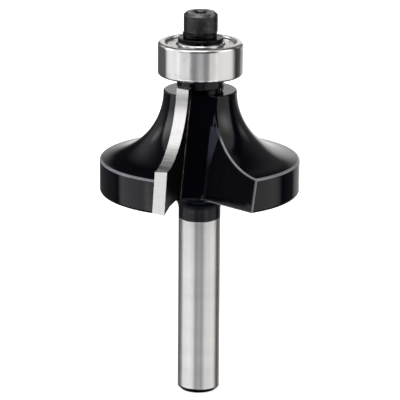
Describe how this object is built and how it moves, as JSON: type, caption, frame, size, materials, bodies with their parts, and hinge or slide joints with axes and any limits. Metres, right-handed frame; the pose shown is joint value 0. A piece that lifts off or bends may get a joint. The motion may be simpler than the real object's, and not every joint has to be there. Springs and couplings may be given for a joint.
{
  "type": "router bit",
  "caption": "Rounding-over router bit: cove-shaped fluted cutter with brazed carbide tips, a plain round shank and a ball-bearing pilot held by a cap screw.",
  "frame": {"origin": "centre of the flat end of the shank", "axes": "+Z along the tool axis from the shank end to the cap screw; the first flute's cutting edge faces -Y, turned slightly to -X"},
  "size_m": [0.03, 0.0302, 0.0588],
  "materials": {
    "painted_body": "gloss black paint on the cutter, shank ground bright",
    "carbide": "ground tungsten carbide, light grey",
    "bearing_ring": "finely ground bearing steel",
    "bearing_ball": "polished",
    "cage": "pressed sheet, as rolled",
    "shield": "pressed sheet, dull",
    "snap_wire": "drawn wire",
    "black_washer": "black oxide",
    "black_screw": "black oxide"
  },
  "bodies": {
    "bit": {"cutter_body": "painted_body", "carbide_tip_1": "carbide", "carbide_tip_2": "carbide", "bearing_inner_ring": "bearing_ring", "flat_washer": "black_washer", "lock_washer": "black_washer", "cap_screw": "black_screw"},
    "pilot_outer": {"bearing_outer_ring": "bearing_ring", "shield_upper": "shield", "shield_lower": "shield", "snap_ring_upper": "snap_wire", "snap_ring_lower": "snap_wire"},
    "ball_cage": {"cage_upper": "cage", "cage_lower": "cage"},
    "ball_1": {"bearing_ball_1": "bearing_ball"},
    "ball_2": {"bearing_ball_2": "bearing_ball"},
    "ball_3": {"bearing_ball_3": "bearing_ball"},
    "ball_4": {"bearing_ball_4": "bearing_ball"},
    "ball_5": {"bearing_ball_5": "bearing_ball"},
    "ball_6": {"bearing_ball_6": "bearing_ball"},
    "ball_7": {"bearing_ball_7": "bearing_ball"}
  },
  "joints": [
    {"name": "pilot_spin", "type": "hinge", "parent": "bit", "child": "pilot_outer", "pos_m": [0, 0, 0.05186], "axis": [0, 0, 1], "continuous": true},
    {"name": "cage_spin", "type": "hinge", "parent": "bit", "child": "ball_cage", "pos_m": [0, 0, 0.05186], "axis": [0, 0, 1], "continuous": true},
    {"name": "ball_1_spin", "type": "hinge", "parent": "ball_cage", "child": "ball_1", "pos_m": [0.00437, 0, 0.05186], "axis": [0, 0, 1], "continuous": true},
    {"name": "ball_2_spin", "type": "hinge", "parent": "ball_cage", "child": "ball_2", "pos_m": [0.00272, 0.00341, 0.05186], "axis": [0, 0, 1], "continuous": true},
    {"name": "ball_3_spin", "type": "hinge", "parent": "ball_cage", "child": "ball_3", "pos_m": [-0.00097, 0.00426, 0.05186], "axis": [0, 0, 1], "continuous": true},
    {"name": "ball_4_spin", "type": "hinge", "parent": "ball_cage", "child": "ball_4", "pos_m": [-0.00393, 0.00189, 0.05186], "axis": [0, 0, 1], "continuous": true},
    {"name": "ball_5_spin", "type": "hinge", "parent": "ball_cage", "child": "ball_5", "pos_m": [-0.00393, -0.00189, 0.05186], "axis": [0, 0, 1], "continuous": true},
    {"name": "ball_6_spin", "type": "hinge", "parent": "ball_cage", "child": "ball_6", "pos_m": [-0.00097, -0.00426, 0.05186], "axis": [0, 0, 1], "continuous": true},
    {"name": "ball_7_spin", "type": "hinge", "parent": "ball_cage", "child": "ball_7", "pos_m": [0.00272, -0.00341, 0.05186], "axis": [0, 0, 1], "continuous": true}
  ],
  "couplings": [
    {"joint": "cage_spin", "follows": "pilot_spin", "ratio": 0.63634},
    {"joint": "ball_1_spin", "follows": "pilot_spin", "ratio": 1.6973},
    {"joint": "ball_2_spin", "follows": "pilot_spin", "ratio": 1.6973},
    {"joint": "ball_3_spin", "follows": "pilot_spin", "ratio": 1.6973},
    {"joint": "ball_4_spin", "follows": "pilot_spin", "ratio": 1.6973},
    {"joint": "ball_5_spin", "follows": "pilot_spin", "ratio": 1.6973},
    {"joint": "ball_6_spin", "follows": "pilot_spin", "ratio": 1.6973},
    {"joint": "ball_7_spin", "follows": "pilot_spin", "ratio": 1.6973}
  ]
}
